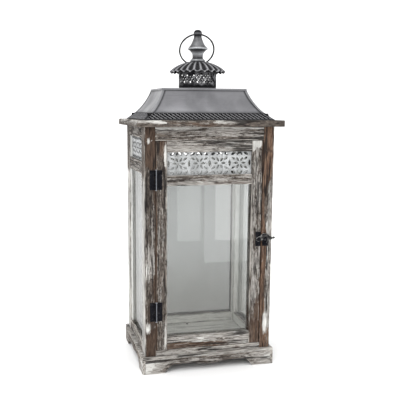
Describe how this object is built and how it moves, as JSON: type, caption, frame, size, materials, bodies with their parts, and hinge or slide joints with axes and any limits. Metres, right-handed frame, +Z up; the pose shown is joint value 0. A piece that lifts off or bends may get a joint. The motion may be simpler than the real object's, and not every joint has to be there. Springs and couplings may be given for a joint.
{
  "type": "candle lantern",
  "caption": "Tall four-sided glazed wooden candle lantern on a bracket base, with a hinged front door, flared metal roof, pierced vent collar, round cap and ring handle.",
  "frame": {"origin": "middle of the base on the ground plane, under the centre of the case", "axes": "+Z up; the door faces -Y; +X to the right seen from the front"},
  "size_m": [0.2016, 0.1636, 0.469],
  "materials": {
    "aged_wood_brown": "weathered brown wood under a thin worn white wash",
    "aged_wood_washed": "weathered wood, grey-white wash rubbed through to the brown",
    "fret_paint": "pierced panel with chalky white paint",
    "zinc_sheet": "dull patinated zinc-grey sheet",
    "zinc_cast": "aged grey casting, rubbed lighter on its edges",
    "dark_metal": "dark grey aged metal with rubbed relief",
    "black_iron": "black iron hardware",
    "pin_steel": "bare hinge pins",
    "glass": "clear panes with a faint grey tint and dusty edges"
  },
  "bodies": {
    "case": {"base_board": "aged_wood_washed", "skirt_front": "aged_wood_washed", "skirt_back": "aged_wood_washed", "skirt_left": "aged_wood_washed", "skirt_right": "aged_wood_washed", "foot_blocks": "aged_wood_brown", "base_battens": "aged_wood_brown", "floor_screws": "black_iron", "post_front_left": "aged_wood_brown", "post_front_right": "aged_wood_brown", "post_back_left": "aged_wood_brown", "post_back_right": "aged_wood_brown", "front_top_rail": "aged_wood_washed", "front_bottom_rail": "aged_wood_washed", "door_stop": "aged_wood_washed", "back_top_rail": "aged_wood_washed", "back_mid_rail": "aged_wood_washed", "back_bottom_rail": "aged_wood_washed", "back_fretwork": "fret_paint", "back_glass": "glass", "left_top_rail": "aged_wood_washed", "left_mid_rail": "aged_wood_washed", "left_bottom_rail": "aged_wood_washed", "left_fretwork": "fret_paint", "left_glass": "glass", "right_top_rail": "aged_wood_washed", "right_mid_rail": "aged_wood_washed", "right_bottom_rail": "aged_wood_washed", "right_fretwork": "fret_paint", "right_glass": "glass", "cornice_board": "aged_wood_washed", "roof_shell": "zinc_sheet", "roof_band": "dark_metal", "roof_lid": "zinc_sheet", "vent_collar": "dark_metal", "vent_cap": "dark_metal", "finial": "zinc_cast", "finial_knob": "dark_metal", "finial_screw": "black_iron", "hinge_post_leaves": "black_iron", "hinge_pins": "pin_steel", "hinge_post_screws": "black_iron", "catch_plate": "black_iron", "catch_screws": "black_iron"},
    "door": {"door_left_stile": "aged_wood_brown", "door_right_stile": "aged_wood_brown", "door_top_rail": "aged_wood_washed", "door_mid_rail": "aged_wood_washed", "door_bottom_rail": "aged_wood_washed", "door_fretwork": "fret_paint", "door_glass": "glass", "hinge_door_leaves": "black_iron", "hinge_door_screws": "black_iron", "latch_plate": "black_iron", "latch_screws": "black_iron", "latch_rivet": "black_iron"},
    "hook": {"latch_hook": "black_iron"},
    "ring": {"ring_handle": "black_iron"}
  },
  "joints": [
    {"name": "door_hinge", "type": "hinge", "parent": "case", "child": "door", "pos_m": [-0.07465, -0.0731, 0.17], "axis": [0, 0, -1], "range_deg": [0, 170]},
    {"name": "hook_pivot", "type": "hinge", "parent": "door", "child": "hook", "pos_m": [0.0695, -0.074, 0.182], "axis": [0, -1, 0], "range_deg": [0, 270]},
    {"name": "ring_pivot", "type": "hinge", "parent": "case", "child": "ring", "pos_m": [0, 0, 0.4627], "axis": [0.9863, -0.165, 0], "range_deg": [0, 292]}
  ]
}
